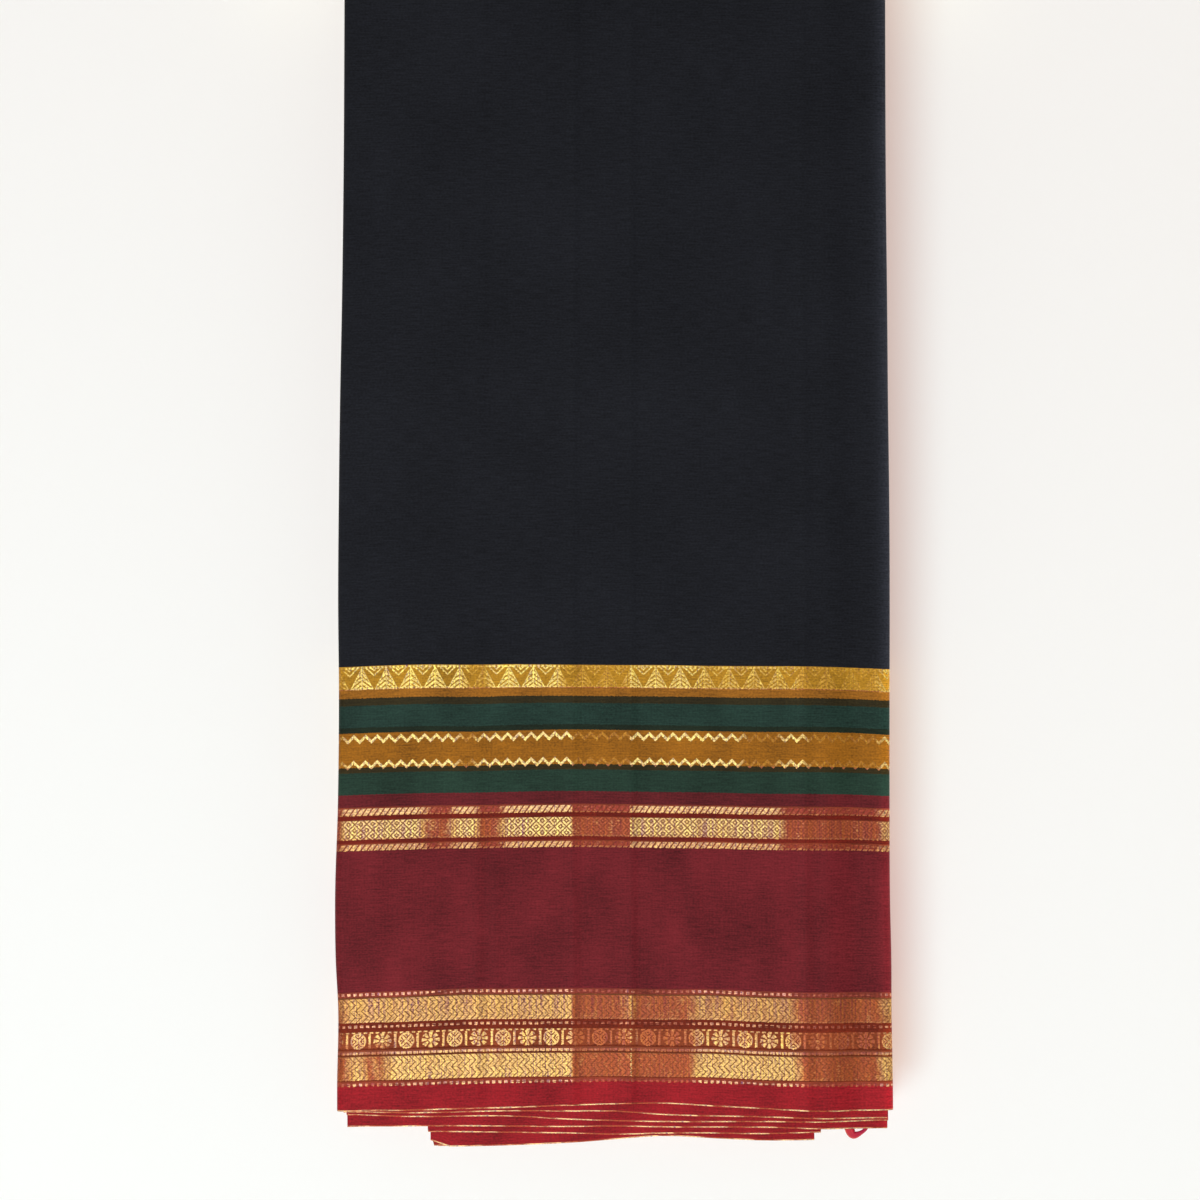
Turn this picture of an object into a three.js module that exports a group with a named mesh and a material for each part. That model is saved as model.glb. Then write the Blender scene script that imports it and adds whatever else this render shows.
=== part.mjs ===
// A long saree folded lengthwise into a narrow stack and hung by its middle over a plain round rod.
// Millimetres, +X to the right, +Y away from the viewer, +Z up. The origin is the middle of the rod.
import * as THREE from 'three';

// Driving sizes of the cloth. The saree is 6300 long and 1170 from selvedge to selvedge, and it is
// folded into 24 layers that hang as six leaves of four layers each.
const CLOTH_WIDTH = 1170;
const LEAF_COUNT = 6;
const LEAF_THICKNESS = 1.5;
const LEAF_GAP = 0.3;

// The rod that carries the stack.
const ROD_RADIUS = 12.5;
const ROD_LENGTH = 360;
const ROD_END_BEVEL = 1;

// The two inner leaves are folded narrower, so the wide ones sink towards the rod beyond them.
const NOMINAL_HALF_WIDTH = 131;
const WIDE_LEAF_INSETS = {
  2: { left: 2.9, right: 2.9 },
  3: { left: 4.2, right: 2.4 },
  4: { left: 4.4, right: 2.6 },
};
const NARROW_LEAVES = { 5: { left: -88.5, right: 97 }, 6: { left: -84, right: 94 } };
const SIDE_SINK = 2.8;
const SINK_STARTS = 99;
const SINK_ENDS = 116;

// The outer leaf turns round the sides of the stack.
const CORNER_RADIUS = 4;
const CORNER_STEPS = 3;
const SIDE_DEPTH = 5.6;

// Below the rod the stack sways slightly and its leaves part towards the selvedges.
const SWAY = 0.8;
const SWAY_LENGTH = 240;
const SWAY_PHASE = 0.6;
const LEAF_SPREAD = 0.35;

// Rings along a leaf: down each hanging half, and round the rod.
const HANGING_STEPS = { outer: 10, inner: 6 };
const ROD_STEPS = 12;

// Outline of the stack: how far each side edge lies from the middle at a drop below the rod.
const SIDE_EDGES = [
  { drop: 0, left: -128.2, right: 128.2 },
  { drop: 120, left: -129.2, right: 129.2 },
  { drop: 260, left: -131.3, right: 130.1 },
  { drop: 400, left: -131.2, right: 130.1 },
  { drop: 465, left: -133.0, right: 130.7 },
  { drop: 505, left: -131.6, right: 131.1 },
  { drop: 570, left: -131.1, right: 131.6 },
];

// How far below the rod each leaf's selvedge hangs in front, at places across the stack.
const SELVEDGE_DROPS = [
  { x: -131, leaf1: 550.5, leaf2: 551.1, leaf3: 552.5, leaf4: 558.6, leaf5: 560.6, leaf6: 568.4 },
  { x: -90, leaf1: 549.6, leaf2: 551.1, leaf3: 553.2, leaf4: 557.9, leaf5: 560.8, leaf6: 568.3 },
  { x: -50, leaf1: 548.6, leaf2: 550.3, leaf3: 553.0, leaf4: 558.1, leaf5: 561.3, leaf6: 567.6 },
  { x: -20, leaf1: 547.2, leaf2: 550.4, leaf3: 554.6, leaf4: 558.3, leaf5: 561.7, leaf6: 566.3 },
  { x: 0, leaf1: 546.7, leaf2: 550.4, leaf3: 555.2, leaf4: 558.0, leaf5: 562.2, leaf6: 564.7 },
  { x: 23, leaf1: 546.3, leaf2: 552.0, leaf3: 555.6, leaf4: 558.4, leaf5: 561.6, leaf6: 563.0 },
  { x: 45, leaf1: 547.4, leaf2: 552.6, leaf3: 555.6, leaf4: 558.4, leaf5: 561.5, leaf6: 564.0 },
  { x: 70, leaf1: 548.9, leaf2: 553.0, leaf3: 555.5, leaf4: 558.4, leaf5: 561.8, leaf6: 565.1 },
  { x: 95, leaf1: 550.1, leaf2: 553.9, leaf3: 555.8, leaf4: 559.2, leaf5: 561.1, leaf6: 564.9 },
  { x: 131, leaf1: 549.9, leaf2: 553.8, leaf3: 555.1, leaf4: 559.1, leaf5: 561.1, leaf6: 564.9 },
];

// Old fold lines that stay in the outer leaf as soft upright ridges, from selvedge to selvedge.
const CREASES = [
  { x: -64.5, rise: 0.6 },
  { x: -20, rise: 1.0 },
  { x: 7.5, rise: 1.2 },
  { x: 90, rise: 0.7 },
];
const CREASE_HALF_WIDTH = 6;

// Places across the stack where every leaf has a row of points.
const SINK_MIDDLE = (SINK_STARTS + SINK_ENDS) / 2;
const SIDE_COLUMNS = [SINK_STARTS, SINK_MIDDLE, SINK_ENDS];
const SHARED_COLUMNS = [...SIDE_COLUMNS.map((x) => -x), -50, 0, 23, 45, 70, ...SIDE_COLUMNS];
const OUTER_COLUMNS = [-80, -35, 35, 58, 80];
const CLOSEST_COLUMNS = 2;

// A twisted loop of selvedge hangs from behind the fourth leaf near the right side: where its middle
// runs, how far it lies behind that leaf's inner face, and its half width there.
const CURL_PATH = [
  { x: 110.8, z: -546, behind: 1.5, halfWidth: 2.0 },
  { x: 111.4, z: -553, behind: 1.7, halfWidth: 2.3 },
  { x: 112.3, z: -559.5, behind: 1.8, halfWidth: 2.4 },
  { x: 114.6, z: -562.6, behind: 1.2, halfWidth: 1.5 },
  { x: 117.4, z: -561.2, behind: 0.7, halfWidth: 1.0 },
  { x: 119.2, z: -557.8, behind: 0.8, halfWidth: 0.8 },
  { x: 118.4, z: -553, behind: 0.9, halfWidth: 0.8 },
  { x: 116.4, z: -547, behind: 0.9, halfWidth: 0.8 },
];
const CURL_LEAF = 4;
const CURL_THICKNESS_SHARE = 0.55;
const CURL_SIDES = 8;
const CURL_STEPS = 28;

const COLOURS = {
  cloth: { color: 0x242628, roughness: 0.85, metalness: 0 },
  border: { color: 0x96262a, roughness: 0.8, metalness: 0 },
  rod: { color: 0xc9a473, roughness: 0.5, metalness: 0 },
};

function material(name) {
  const { color, roughness, metalness } = COLOURS[name];
  return new THREE.MeshStandardMaterial({ color, roughness, metalness });
}

// Straight-line reading of a table's column at a place, held at the table's ends.
function readTable(table, at, place, column) {
  const last = table[table.length - 1];
  if (place <= table[0][at]) return table[0][column];
  if (place >= last[at]) return last[column];
  const next = table.findIndex((row) => row[at] > place);
  const low = table[next - 1];
  const high = table[next];
  const share = (place - low[at]) / (high[at] - low[at]);
  return low[column] + share * (high[column] - low[column]);
}

// How far a leaf's wall sits out from the rod's surface, inside and outside, at the stack's middle.
function restingDepth(leaf) {
  const inside = LEAF_GAP + (LEAF_COUNT - leaf) * (LEAF_THICKNESS + LEAF_GAP);
  return { inside, outside: inside + LEAF_THICKNESS };
}

// The wide leaves lie nearer the rod beyond the narrow ones.
function sink(leaf, x) {
  if (leaf in NARROW_LEAVES) return 0;
  return SIDE_SINK * THREE.MathUtils.smoothstep(Math.abs(x), SINK_STARTS, SINK_ENDS);
}

// The shared sway of the stack and the parting of its leaves, none at the rod and most at the selvedge.
function hangingShift(leaf, x, share, half) {
  const wave = Math.sin((2 * Math.PI * x) / SWAY_LENGTH + half * SWAY_PHASE);
  const spread = LEAF_SPREAD * (LEAF_COUNT - leaf) * share ** 3;
  return SWAY * wave * THREE.MathUtils.smoothstep(share, 0, 1) + spread;
}

function creaseRise(leaf, x) {
  if (leaf !== 1) return 0;
  return CREASES.reduce((rise, crease) => {
    const nearness = Math.max(0, 1 - Math.abs(x - crease.x) / CREASE_HALF_WIDTH);
    return Math.max(rise, crease.rise * nearness);
  }, 0);
}

// The drop of a leaf's selvedge below the rod. Both halves and the turn over the rod make up the
// cloth's whole width, so what hangs higher in front hangs lower behind.
function selvedgeDrop(leaf, x, half) {
  const front = readTable(SELVEDGE_DROPS, 'x', x, `leaf${leaf}`);
  if (half < 0) return front;
  const { inside, outside } = restingDepth(leaf);
  const turn = Math.PI * (ROD_RADIUS + (inside + outside) / 2);
  return CLOTH_WIDTH - turn - front;
}

// The rings' places: front selvedge up to the rod, over it, and down to the back selvedge.
function leafStations(hangingSteps) {
  const stations = [];
  for (let i = hangingSteps; i > 0; i -= 1) {
    stations.push({ half: -1, share: i / hangingSteps, turn: 0 });
  }
  for (let i = 0; i <= ROD_STEPS; i += 1) {
    const turn = (Math.PI * i) / ROD_STEPS;
    stations.push({ half: turn < Math.PI / 2 ? -1 : 1, share: 0, turn });
  }
  for (let i = 1; i <= hangingSteps; i += 1) {
    stations.push({ half: 1, share: i / hangingSteps, turn: Math.PI });
  }
  return stations;
}

// A nominal place across the stack, fitted between the side edges at this drop.
function fitAcross(nominal, drop) {
  const side = nominal < 0 ? 'left' : 'right';
  const edge = Math.abs(readTable(SIDE_EDGES, 'drop', drop, side));
  return (nominal * edge) / NOMINAL_HALF_WIDTH;
}

// A point of a leaf: its place across, its depth out from the rod, and its ring.
function leafPoint(leaf, nominal, depth, station) {
  const { half, share, turn } = station;
  const drop = share * selvedgeDrop(leaf, nominal, half);
  const radius = ROD_RADIUS + depth + hangingShift(leaf, nominal, share, half);
  return [fitAcross(nominal, drop), -radius * Math.cos(turn), radius * Math.sin(turn) - drop];
}

// The section of an inner leaf: a flat wall with rounded side edges.
function innerSection(leaf) {
  const ends = NARROW_LEAVES[leaf] ?? {
    left: WIDE_LEAF_INSETS[leaf].left - NOMINAL_HALF_WIDTH,
    right: NOMINAL_HALF_WIDTH - WIDE_LEAF_INSETS[leaf].right,
  };
  const round = LEAF_THICKNESS / 2;
  const left = ends.left + round;
  const right = ends.right - round;
  const between = SHARED_COLUMNS.filter((x) => x > left + CLOSEST_COLUMNS && x < right - CLOSEST_COLUMNS);
  const columns = [left, ...between.sort((a, b) => a - b), right];
  const { inside, outside } = restingDepth(leaf);
  const middle = (inside + outside) / 2;
  const outerRow = columns.map((x) => ({ x, depth: outside - sink(leaf, x) }));
  const innerRow = columns.map((x) => ({ x, depth: inside - sink(leaf, x) }));
  outerRow.unshift({ x: ends.left, depth: middle - sink(leaf, left) + round / 2 });
  innerRow.unshift({ x: ends.left, depth: middle - sink(leaf, left) - round / 2 });
  outerRow.push({ x: ends.right, depth: middle - sink(leaf, right) + round / 2 });
  innerRow.push({ x: ends.right, depth: middle - sink(leaf, right) - round / 2 });
  return { outerRow, innerRow };
}

// One rounded side of the outer leaf, from the panel's end to the free end behind the turned side.
function turnedSide(side, radius, face) {
  const centreX = side * (NOMINAL_HALF_WIDTH - CORNER_RADIUS);
  const centreDepth = face - CORNER_RADIUS;
  const points = [];
  for (let i = 0; i <= CORNER_STEPS; i += 1) {
    const angle = ((Math.PI / 2) * i) / CORNER_STEPS;
    points.push({
      x: centreX + side * radius * Math.sin(angle),
      depth: centreDepth + radius * Math.cos(angle),
    });
  }
  points.push({ x: centreX + side * radius, depth: face - SIDE_DEPTH });
  return points;
}

// The section of the outer leaf: a panel with its creases, turned round both sides of the stack.
function outerSection() {
  const panelEnd = NOMINAL_HALF_WIDTH - CORNER_RADIUS;
  const creaseColumns = CREASES.flatMap(({ x }) => [x - CREASE_HALF_WIDTH, x, x + CREASE_HALF_WIDTH]);
  const crossesCrease = (x) => creaseColumns.some((column) => Math.abs(column - x) < CLOSEST_COLUMNS);
  const plain = [...SHARED_COLUMNS, ...OUTER_COLUMNS].filter((x) => !crossesCrease(x));
  const columns = [...plain, ...creaseColumns].filter((x) => Math.abs(x) < panelEnd).sort((a, b) => a - b);
  const { outside } = restingDepth(1);
  const face = outside - SIDE_SINK;
  const rows = [CORNER_RADIUS, CORNER_RADIUS - LEAF_THICKNESS].map((radius, inner) => [
    ...turnedSide(-1, radius, face).reverse(),
    ...columns.map((x) => ({ x, depth: outside - inner * LEAF_THICKNESS - sink(1, x) + creaseRise(1, x) })),
    ...turnedSide(1, radius, face),
  ]);
  return { outerRow: rows[0], innerRow: rows[1] };
}

// A closed wall through rings of points, with its two ends closed between the outer and inner rows.
function wallThroughRings(rings, rowLength) {
  const ringLength = rings[0].length;
  const positions = rings.flat(2);
  const faces = [];
  for (let ring = 0; ring + 1 < rings.length; ring += 1) {
    for (let i = 0; i < ringLength; i += 1) {
      const next = (i + 1) % ringLength;
      const a = ring * ringLength + i;
      const b = ring * ringLength + next;
      faces.push(a, b, b + ringLength, a, b + ringLength, a + ringLength);
    }
  }
  for (let i = 0; i + 1 < rowLength; i += 1) {
    const opposite = ringLength - 1 - i;
    const last = (rings.length - 1) * ringLength;
    faces.push(i, opposite, opposite - 1, i, opposite - 1, i + 1);
    faces.push(last + i, last + opposite - 1, last + opposite, last + i, last + i + 1, last + opposite - 1);
  }
  const geometry = new THREE.BufferGeometry();
  geometry.setAttribute('position', new THREE.Float32BufferAttribute(positions, 3));
  geometry.setIndex(faces);
  geometry.computeVertexNormals();
  return geometry;
}

function leafMesh(leaf) {
  const { outerRow, innerRow } = leaf === 1 ? outerSection() : innerSection(leaf);
  const section = [...outerRow, ...innerRow.reverse()];
  const stations = leafStations(leaf === 1 ? HANGING_STEPS.outer : HANGING_STEPS.inner);
  const rings = stations.map((station) => section.map(({ x, depth }) => leafPoint(leaf, x, depth, station)));
  const finish = material(leaf === 1 ? 'cloth' : 'border');
  const mesh = new THREE.Mesh(wallThroughRings(rings, outerRow.length), finish);
  mesh.name = `leaf_${leaf}`;
  return mesh;
}

// Where the curl's path runs: each of its places, set behind the inner face of the leaf that holds it.
function curlPoints() {
  const { inside } = restingDepth(CURL_LEAF);
  return CURL_PATH.map(({ x, z, behind }) => {
    const station = { half: -1, share: Math.min(1, -z / selvedgeDrop(CURL_LEAF, x, -1)), turn: 0 };
    const faceY = leafPoint(CURL_LEAF, x, inside - sink(CURL_LEAF, x), station)[1];
    return new THREE.Vector3(x, faceY + behind, z);
  });
}

// The half width of the curl at a share of its path.
function curlHalfWidth(share) {
  const place = share * (CURL_PATH.length - 1);
  const before = Math.min(Math.floor(place), CURL_PATH.length - 2);
  return THREE.MathUtils.lerp(CURL_PATH[before].halfWidth, CURL_PATH[before + 1].halfWidth, place - before);
}

// A flattened cord of cloth along a curve, wide at its root and thin at its tip, both ends closed.
function curlMesh() {
  const curve = new THREE.CatmullRomCurve3(curlPoints());
  const rings = [];
  for (let step = 0; step <= CURL_STEPS; step += 1) {
    const share = step / CURL_STEPS;
    const centre = curve.getPoint(share);
    const halfWidth = curlHalfWidth(share);
    const across = new THREE.Vector3(0, 1, 0).cross(curve.getTangent(share)).normalize();
    const out = new THREE.Vector3().crossVectors(curve.getTangent(share), across).normalize();
    const ring = [];
    for (let side = 0; side < CURL_SIDES; side += 1) {
      const angle = (2 * Math.PI * (side + 0.5)) / CURL_SIDES;
      const point = centre.clone()
        .addScaledVector(across, halfWidth * Math.cos(angle))
        .addScaledVector(out, halfWidth * CURL_THICKNESS_SHARE * Math.sin(angle));
      ring.push(point.toArray());
    }
    rings.push(ring);
  }
  const mesh = new THREE.Mesh(wallThroughRings(rings, CURL_SIDES / 2), material('border'));
  mesh.name = 'selvedge_curl';
  return mesh;
}

// A plain rod with flat ends and a small bevel, turned about its own axis and laid along X.
function rodMesh() {
  const end = ROD_LENGTH / 2;
  const profile = [
    [0, -end],
    [ROD_RADIUS - ROD_END_BEVEL, -end],
    [ROD_RADIUS, -end + ROD_END_BEVEL],
    [ROD_RADIUS, end - ROD_END_BEVEL],
    [ROD_RADIUS - ROD_END_BEVEL, end],
    [0, end],
  ].map(([radius, along]) => new THREE.Vector2(radius, along));
  const mesh = new THREE.Mesh(new THREE.LatheGeometry(profile, 2 * ROD_STEPS), material('rod'));
  mesh.rotation.z = -Math.PI / 2;
  mesh.name = 'hanging_rod';
  return mesh;
}

const saree = new THREE.Group();
for (let leaf = 1; leaf <= LEAF_COUNT; leaf += 1) saree.add(leafMesh(leaf));
saree.add(curlMesh());
saree.add(rodMesh());

export default saree;
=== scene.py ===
"""A long saree folded lengthwise and hung over a wooden rod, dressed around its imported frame.

Metres, +X to the right, +Y away from the viewer, +Z up, origin in the middle of the rod.
Every layer of cloth is a thin closed shell on the form of its leaf in the frame.
"""

import math

import bpy
import numpy as np
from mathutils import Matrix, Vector


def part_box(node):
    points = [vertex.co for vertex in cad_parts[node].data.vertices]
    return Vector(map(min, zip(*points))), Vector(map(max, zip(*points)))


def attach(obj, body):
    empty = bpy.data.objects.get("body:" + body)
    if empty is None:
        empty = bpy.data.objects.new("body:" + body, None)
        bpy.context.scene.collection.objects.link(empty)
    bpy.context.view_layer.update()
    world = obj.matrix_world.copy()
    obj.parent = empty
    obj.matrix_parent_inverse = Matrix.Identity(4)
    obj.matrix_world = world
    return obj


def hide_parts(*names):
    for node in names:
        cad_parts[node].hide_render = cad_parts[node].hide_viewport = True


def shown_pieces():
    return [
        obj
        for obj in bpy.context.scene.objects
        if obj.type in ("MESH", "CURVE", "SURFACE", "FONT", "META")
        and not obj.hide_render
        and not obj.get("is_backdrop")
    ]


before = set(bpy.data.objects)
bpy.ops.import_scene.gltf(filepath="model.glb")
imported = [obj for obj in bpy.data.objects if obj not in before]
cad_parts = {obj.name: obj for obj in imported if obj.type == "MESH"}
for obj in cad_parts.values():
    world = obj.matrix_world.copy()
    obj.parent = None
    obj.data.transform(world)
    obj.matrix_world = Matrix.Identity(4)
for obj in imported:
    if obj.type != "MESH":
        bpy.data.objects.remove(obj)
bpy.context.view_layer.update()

bl_info = {
    "name": "Hanging Saree",
    "version": (1, 0, 0),
    "blender": (4, 5, 0),
    "location": "3D View > Sidebar > Saree",
    "description": "Builds a folded saree over a rod, with its woven borders and a plain studio",
    "category": "Add Mesh",
}

MM = 0.001

# The stack of folded cloth, as the frame has it. Insets and ends are in millimetres, left and right.
LEAF_COUNT = 6
LEAF_THICKNESS = 1.5 * MM
LEAF_GAP = 0.3 * MM
LAYERS = 4
ROD_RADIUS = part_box("hanging_rod")[1][2]
HALF_WIDTH = 131 * MM
WIDE_LEAF_INSETS = {2: (2.9, 2.9), 3: (4.2, 2.4), 4: (4.4, 2.6)}
NARROW_LEAF_ENDS = {5: (-88.5, 97), 6: (-84, 94)}
SIDE_SINK = 2.8 * MM
SINK_STARTS = 99 * MM
SINK_ENDS = 116 * MM
CORNER_RADIUS = 4 * MM
SIDE_DEPTH = 5.6 * MM
SWAY = 0.8 * MM
SWAY_LENGTH = 240 * MM
SWAY_PHASE = 0.6
LEAF_SPREAD = 0.35 * MM
# Where the flat of the stack ends and its sides begin, across.
FLAT_ENDS = 108 * MM
SIDE_STARTS = 124 * MM
# How much of the unevenness of the front selvedge is left at the top of the back border.
BACK_FADE = 0.45

# Distance between the points of a section: of the outermost layer and of those inside.
OUTER_SPACING = 1.8 * MM
LAYER_SPACING = 9 * MM
# Distance between the rows up the cloth: of the borders, the body and the folded layers.
BORDER_ROWS = 2.4 * MM
BODY_ROWS = 4.4 * MM
OUTER_LEAF_ROWS = 14 * MM
INNER_LEAF_ROWS = 13 * MM
# Heights of the extra rows above each selvedge.
SELVEDGE_ROWS = np.array([0.4, 1.2, 2.5, 5, 9, 15]) * MM

# Outline of the stack, in millimetres: how far each side edge lies from the middle at a drop. It is
# drawn up to a millimetre more closely than the frame's.
EDGE_DROPS = [0, 120, 165, 212, 260, 307, 355, 405, 450, 478, 502, 540, 570]
LEFT_EDGES = [128.8, 129.5, 130.1, 131.0, 131.6, 131.9, 131.5, 132.0, 133.3, 133.0, 131.8, 132.3, 132.1]
RIGHT_EDGES = [128.8, 129.3, 129.8, 130.2, 130.8, 131.0, 130.9, 130.9, 131.1, 131.7, 131.8, 132.4, 132.6]

# Drop of each leaf's front selvedge below the rod, in millimetres, at places across the stack.
SELVEDGE_PLACES = [-131, -90, -50, -20, 0, 23, 45, 70, 95, 131]
SELVEDGE_DROPS = {
    1: [550.5, 549.6, 548.6, 547.2, 546.7, 546.3, 547.4, 548.9, 550.1, 549.9],
    2: [551.1, 551.1, 550.3, 550.4, 550.4, 552.0, 552.6, 553.0, 553.9, 553.8],
    3: [552.5, 553.2, 553.0, 554.6, 555.2, 555.6, 555.6, 555.5, 555.8, 555.1],
    4: [558.6, 557.9, 558.1, 558.3, 558.0, 558.4, 558.4, 558.4, 559.2, 559.1],
    5: [560.6, 560.8, 561.3, 561.7, 562.2, 561.6, 561.5, 561.8, 561.1, 561.1],
    6: [568.4, 568.3, 567.6, 566.3, 564.7, 563.0, 564.0, 565.1, 564.9, 564.9],
}

# How much lower than its height on the flat cloth a woven line of the outer leaf hangs, in
# millimetres, for lines at some heights above the selvedge. They hang lower towards both sides.
LINE_PLACES = [-131, -113, -90, -65, -50, -20, 0, 23, 45, 70, 95, 115, 131]
LINE_HEIGHTS = [0, 13.4, 54.6, 177.5, 209.3]
LINE_DROPS = [
    [3.8, 3.4, 2.8, 2.1, 1.8, 0.6, 0, -0.4, 0.8, 2.1, 3.4, 3.3, 3.1],
    [2.8, 2.1, 1.4, 0.7, 0.4, 0.2, 0, 0.4, 0.5, 1.7, 2.2, 2.3, 2.5],
    [2.5, 1.8, 0.8, -0.1, 0, -0.2, 0, 0.3, 0.3, 1.3, 1.9, 1.9, 2.1],
    [2.3, 1.6, 1.0, 1.0, 0.5, 0, 0.2, 0.5, 0.8, 1.2, 1.2, 1.8, 2.7],
    [1.9, 1.1, 0.4, 0.5, 0.3, 0.5, 0.7, 0.7, 1.1, 1.2, 1.4, 2.1, 2.8],
]
INNER_LINE_FADE = [1.0, 0.75, 0.6, 0.5, 0.35]

# Old fold lines of the outer leaf: place across, height, half width and wander of each soft ridge,
# in millimetres.
FOLD_LINES = [
    {"x": -64.5, "rise": 0.6, "width": 2.6, "wander": 0.9},
    {"x": -55.0, "rise": 0.3, "width": 2.0, "wander": 0.7},
    {"x": -20.0, "rise": 1.0, "width": 2.2, "wander": 0.5},
    {"x": 7.5, "rise": 1.2, "width": 1.8, "wander": 0.3},
    {"x": 37.0, "rise": 0.25, "width": 3.0, "wander": 1.2},
    {"x": 90.0, "rise": 0.7, "width": 2.4, "wander": 0.6},
]

# Where the outer layer is cut into pieces, so that each border has a map of its own.
BORDER_HEIGHT = 209.2 * MM

# How much shorter each folded layer hangs than the outermost one, in millimetres: from a little long
# to nearly a millimetre short, and a slow waver besides.
SHORTEST_LAYER = 0.75
LONGEST_LAYER = -0.1
LAYER_WAVER = 0.35

# How far the layers stop short of an inner leaf's ends, drawn between two limits; the outer layer's
# stop; and how much further along the saree each leaf's pattern starts than the last one's.
LAYER_STOPS = (0.3, 1.6)
OUTER_STOP = 0.25
PATTERN_SHIFT = 3.7 * MM

# The inmost leaf's left end is stepped: how far each layer stands out, how much shorter the front
# ones hang there, and where across the leaf that ends, in millimetres.
STEPPED_LEAF = 6
STEPPED_REACH = (3.6, 2.8, 0.0, 0.0)
STEPPED_SHORT = 3.0
STEPPED_END = (-84.5, -79.0)

# The twisted loop of selvedge behind the fourth leaf, in millimetres.
CURL_LEAF = 4
CURL_X = [110.8, 111.2, 111.9, 113.8, 117.3, 120.3, 120.4, 118.6]
CURL_Z = [-546, -553, -559.4, -562.5, -561.5, -558.6, -553, -547]
CURL_BEHIND = [1.5, 1.7, 1.8, 1.2, 0.7, 0.8, 0.9, 0.9]
CURL_HALF_WIDTH = [2.0, 2.3, 2.4, 2.0, 1.1, 0.85, 0.8, 0.8]
CURL_FLATNESS = 0.5
CURL_TWIST = 0.25
CURL_TURNS = 1.1
CURL_GROOVE = {"depth": 0.22, "half_width": 0.35}
CURL_SLIMMER = 0.97
CURL_STEPS = 84
CURL_SIDES = 26
CURL_GIRTH = 12 * MM

# The wall and the floor: how far they reach to both sides, the wall's top, the floor's front edge,
# and their colours.
STAGE_REACH = 1.6
WALL_TOP = 1.4
FLOOR_FRONT = -2.3
WALL_COLOUR = (0.42, 0.58, 0.60)
WALL_GLOW = (0.57, 0.408, 0.361)
FLOOR_COLOUR = (0.8, 0.8, 0.79)

# The light: the colour of the sky, the lamps' size, and the place and colour of each.
SKY_COLOUR = (1.0, 0.91, 0.87)
LAMP_SIZE = 1.3
FRONT_LAMP = {"place": (-0.65, -2.6, -1.7), "colour": (0.93, 1.0, 1.025)}
BACK_LAMP = {"place": (1.0, 2.8, 0.4), "colour": (1.0, 0.99, 0.97)}


def srgb(red, green, blue):
    """Linear colour of three screen values from 0 to 255, by the sRGB curve."""
    share = np.array([red, green, blue]) / 255
    linear = np.where(share <= 0.04045, share / 12.92, ((share + 0.055) / 1.055) ** 2.4)
    return tuple(float(value) for value in linear)


class SareeClothSettings(bpy.types.PropertyGroup):
    """Sizes and colours of the cloth"""
    width: bpy.props.FloatProperty(
        name="Selvedge to selvedge", description="Woven width of the saree", default=1.17, unit="LENGTH")
    thickness: bpy.props.FloatProperty(
        name="Cloth thickness", description="Thickness of one layer", default=0.28 * MM, unit="LENGTH",
        precision=5)
    fold_height: bpy.props.FloatProperty(
        name="Fold lines", description="Height of the old fold lines, 1 as in the frame",
        default=1.0, min=0.0, max=1.2, subtype="FACTOR")
    ripple: bpy.props.FloatProperty(
        name="Ripple", description="Height of the slow unevenness of each layer",
        default=0.14 * MM, unit="LENGTH", precision=5)
    body_colour: bpy.props.FloatVectorProperty(
        name="Body", description="Black body of the saree", default=srgb(27, 28, 33), subtype="COLOR")
    curl_colour: bpy.props.FloatVectorProperty(
        name="Loose loop", description="Crimson loop of selvedge", default=srgb(190, 28, 46),
        subtype="COLOR")


class SareeRodSettings(bpy.types.PropertyGroup):
    """Look of the rod"""
    colour: bpy.props.FloatVectorProperty(
        name="Wood", description="Pale turned wood of the rod", default=(0.788, 0.643, 0.451),
        subtype="COLOR")


class SareeStudioSettings(bpy.types.PropertyGroup):
    """The camera, the wall and the light"""
    view_distance: bpy.props.FloatProperty(
        name="Camera distance", description="From the camera to the front of the cloth",
        default=2.0, unit="LENGTH")
    view_width: bpy.props.FloatProperty(
        name="View width", description="Width of the view at the front of the cloth",
        default=0.57, unit="LENGTH")
    view_centre: bpy.props.FloatVectorProperty(
        name="View centre", description="Point of the cloth's front in the middle of the view",
        default=(-7.1 * MM, -23.3 * MM, -307.3 * MM), subtype="TRANSLATION")
    wall_depth: bpy.props.FloatProperty(
        name="Wall", description="Distance of the wall behind the rod", default=0.045, unit="LENGTH")
    wall_lean: bpy.props.FloatProperty(
        name="Lean", description="How far the wall's foot stands forward, for each metre of height",
        default=0.027)
    floor_height: bpy.props.FloatProperty(
        name="Floor", description="Height of the floor below the rod", default=-1.9, unit="LENGTH")
    sky: bpy.props.FloatProperty(
        name="Soft light", description="Strength of the even light from all round", default=0.30)
    lamp: bpy.props.FloatProperty(
        name="Lamp", description="Power of each soft lamp, in watts", default=83.5)


def smoothstep(value, low, high):
    """0 below low, 1 above high, and between them the smooth rise 3t² − 2t³."""
    share = np.clip((value - low) / (high - low), 0, 1)
    return share * share * (3 - 2 * share)


def read_table(place, places, values):
    """Reads a table along the smooth curve through its points.

    Between two points it is the cubic that has, at each point, the slope between its neighbours.
    """
    places = np.asarray(places, float)
    values = np.asarray(values, float)
    place = np.clip(place, places[0], places[-1])
    slopes = np.gradient(values, places)
    low = np.clip(np.searchsorted(places, place, side="right") - 1, 0, len(places) - 2)
    span = places[low + 1] - places[low]
    t = (place - places[low]) / span
    rise = t * t * (3 - 2 * t)
    first = values[low] * (1 - rise) + values[low + 1] * rise
    return first + span * (slopes[low] * t * (1 - t) ** 2 - slopes[low + 1] * t * t * (1 - t))


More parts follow.
